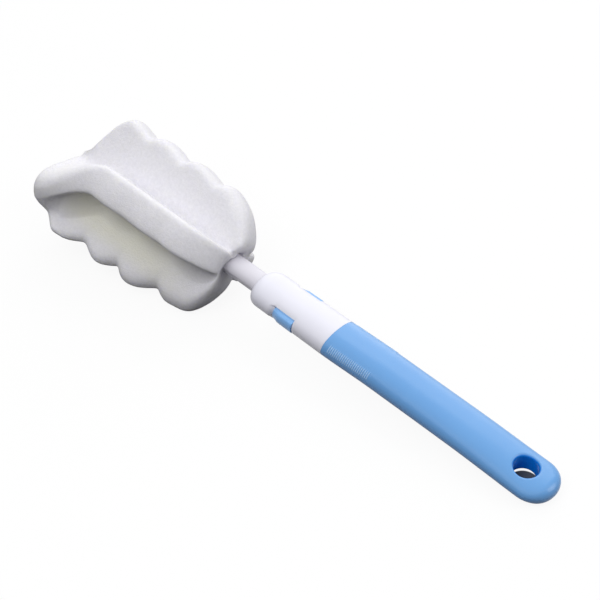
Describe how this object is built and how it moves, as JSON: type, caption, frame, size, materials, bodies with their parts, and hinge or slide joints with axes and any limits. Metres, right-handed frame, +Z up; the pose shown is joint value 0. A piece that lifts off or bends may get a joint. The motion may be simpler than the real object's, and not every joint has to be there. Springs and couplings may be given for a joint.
{
  "type": "sponge cup brush",
  "caption": "Brush for cups and bottles: a cross-shaped, scalloped white foam head on a white latch neck, which plugs onto a flat light blue handle with a hanging hole.",
  "frame": {"origin": "middle of the box's underside, where the brush lies on a table on two foam lobes and the butt of its handle", "axes": "+X along the tool from the foam's tip to the handle's butt, +Y towards the rear broadside, +Z up; the tool's own axis drops 5.7 degrees towards +X"},
  "size_m": [0.291, 0.068, 0.0569],
  "materials": {
    "white_foam": "matte open foam",
    "white_plastic": "satin",
    "latch_blue": "satin",
    "handle_blue": "gloss"
  },
  "bodies": {
    "handle": {"handle_upper_shell": "handle_blue", "handle_lower_shell": "handle_blue", "latch_plug": "latch_blue"},
    "head": {"foam_slab": "white_foam", "foam_wing_front": "white_foam", "foam_wing_rear": "white_foam", "stem": "white_plastic", "neck_sleeve": "white_plastic"},
    "latch_front": {"latch_arm_front": "latch_blue"},
    "latch_rear": {"latch_arm_rear": "latch_blue"}
  },
  "joints": [
    {"name": "head_release", "type": "slide", "parent": "handle", "child": "head", "axis": [-0.995, 0, 0.0998], "range_m": [0, 0.035]},
    {"name": "latch_press_front", "type": "hinge", "parent": "handle", "child": "latch_front", "pos_m": [0.01114, -0.00099, 0.01802], "axis": [-0.0998, 0, -0.995], "range_deg": [0, 6.5], "stiffness_Nm_per_rad": 1, "springref_deg": -1.15},
    {"name": "latch_press_rear", "type": "hinge", "parent": "handle", "child": "latch_rear", "pos_m": [0.01114, 0.01381, 0.01802], "axis": [0.0998, 0, 0.995], "range_deg": [0, 6.5], "stiffness_Nm_per_rad": 1, "springref_deg": -1.15}
  ]
}
